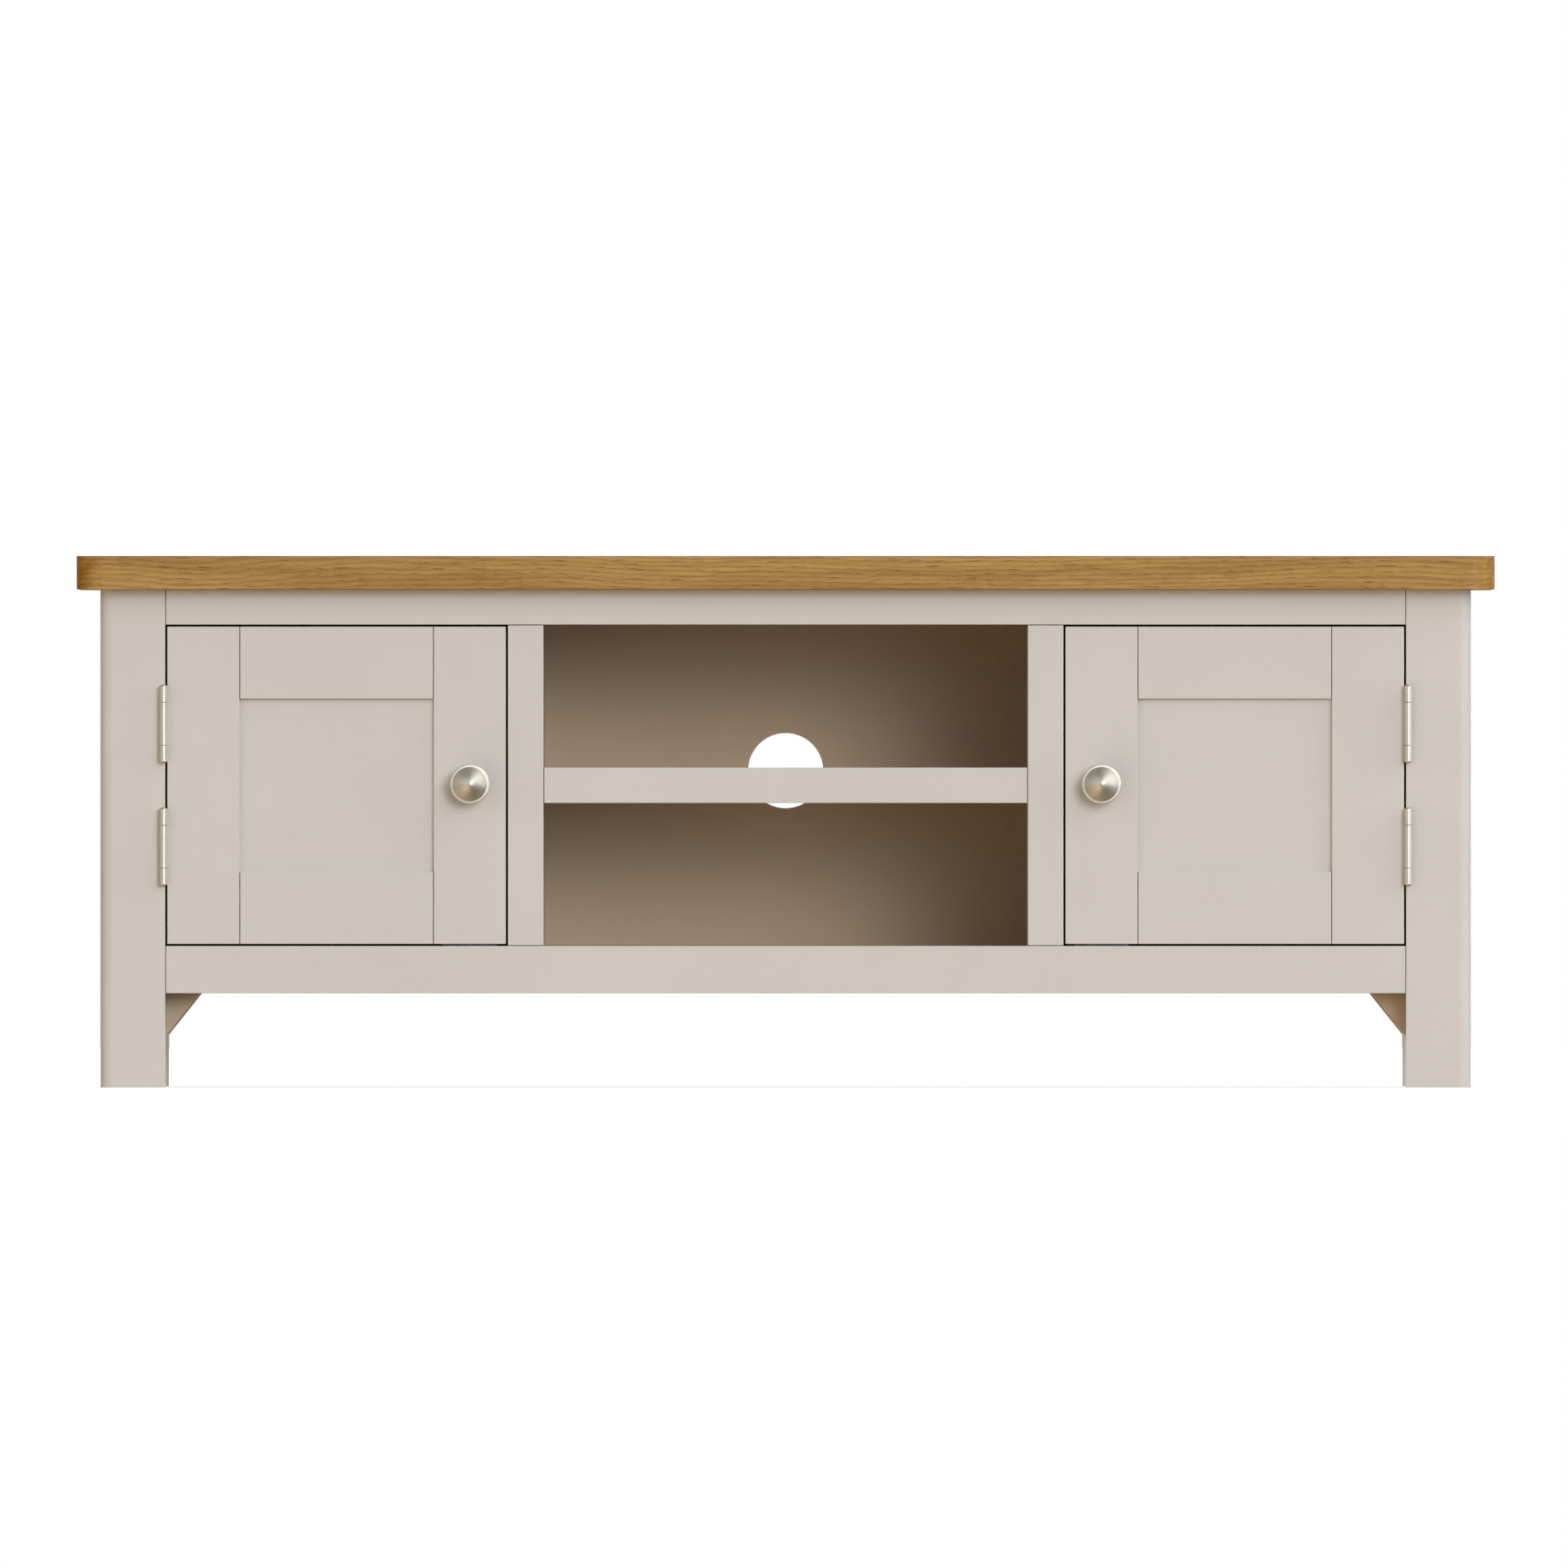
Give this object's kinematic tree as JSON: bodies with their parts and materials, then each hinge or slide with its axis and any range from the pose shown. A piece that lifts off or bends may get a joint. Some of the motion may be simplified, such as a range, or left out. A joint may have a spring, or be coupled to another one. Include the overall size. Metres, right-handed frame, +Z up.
{
  "type": "media cabinet",
  "caption": "Low painted media cabinet with an oak top, framed doors on face hinges, and an open centre bay with a fixed shelf and a cable hole.",
  "frame": {"origin": "on the floor under the middle of the whole cabinet, knobs included", "axes": "+Z up, +X to the right as seen from the front, and the doors face -Y"},
  "size_m": [1.2, 0.407, 0.45],
  "materials": {
    "oak": "satin lacquer",
    "painted_wood": "satin paint",
    "beech": "bare",
    "nickel": "satin nickel plate",
    "zinc_steel": "bright zinc plate",
    "catch_plastic": "matt moulded"
  },
  "bodies": {
    "carcass": {"oak_top": "oak", "leg_front_left": "painted_wood", "leg_front_right": "painted_wood", "leg_rear_left": "painted_wood", "leg_rear_right": "painted_wood", "front_top_rail": "painted_wood", "front_bottom_rail": "painted_wood", "rear_top_rail": "painted_wood", "rear_bottom_rail": "painted_wood", "side_top_rail_left": "painted_wood", "side_top_rail_right": "painted_wood", "side_bottom_rail_left": "painted_wood", "side_bottom_rail_right": "painted_wood", "side_panel_left": "painted_wood", "side_panel_right": "painted_wood", "divider_stile_left": "painted_wood", "divider_stile_right": "painted_wood", "divider_panel_left": "painted_wood", "divider_panel_right": "painted_wood", "base_panel": "painted_wood", "shelf_rail": "painted_wood", "shelf_board": "painted_wood", "back_panel": "painted_wood", "corner_bracket_front_left": "painted_wood", "corner_bracket_front_right": "painted_wood", "corner_bracket_rear_left": "painted_wood", "corner_bracket_rear_right": "painted_wood", "frame_leaf_left_upper": "nickel", "frame_leaf_left_lower": "nickel", "frame_leaf_right_upper": "nickel", "frame_leaf_right_lower": "nickel", "hinge_pins": "nickel", "frame_small_screws": "zinc_steel", "catch_housing_left": "catch_plastic", "catch_housing_right": "catch_plastic", "catch_magnets": "zinc_steel", "carcass_screws": "zinc_steel", "dowels": "beech"},
    "door_left": {"door_left_hinge_stile": "painted_wood", "door_left_knob_stile": "painted_wood", "door_left_top_rail": "painted_wood", "door_left_bottom_rail": "painted_wood", "door_left_panel": "painted_wood", "door_left_leaf_upper": "nickel", "door_left_leaf_lower": "nickel", "door_left_knob": "nickel", "door_left_knob_screw": "zinc_steel", "door_left_strike_plate": "zinc_steel", "door_left_small_screws": "zinc_steel"},
    "door_right": {"door_right_hinge_stile": "painted_wood", "door_right_knob_stile": "painted_wood", "door_right_top_rail": "painted_wood", "door_right_bottom_rail": "painted_wood", "door_right_panel": "painted_wood", "door_right_leaf_upper": "nickel", "door_right_leaf_lower": "nickel", "door_right_knob": "nickel", "door_right_knob_screw": "zinc_steel", "door_right_strike_plate": "zinc_steel", "door_right_small_screws": "zinc_steel"}
  },
  "joints": [
    {"name": "door_left_hinge", "type": "hinge", "parent": "carcass", "child": "door_left", "pos_m": [-0.5266, -0.1804, 0.256], "axis": [0, 0, -1], "range_deg": [0, 180]},
    {"name": "door_right_hinge", "type": "hinge", "parent": "carcass", "child": "door_right", "pos_m": [0.5266, -0.1804, 0.256], "axis": [0, 0, 1], "range_deg": [0, 180]}
  ]
}
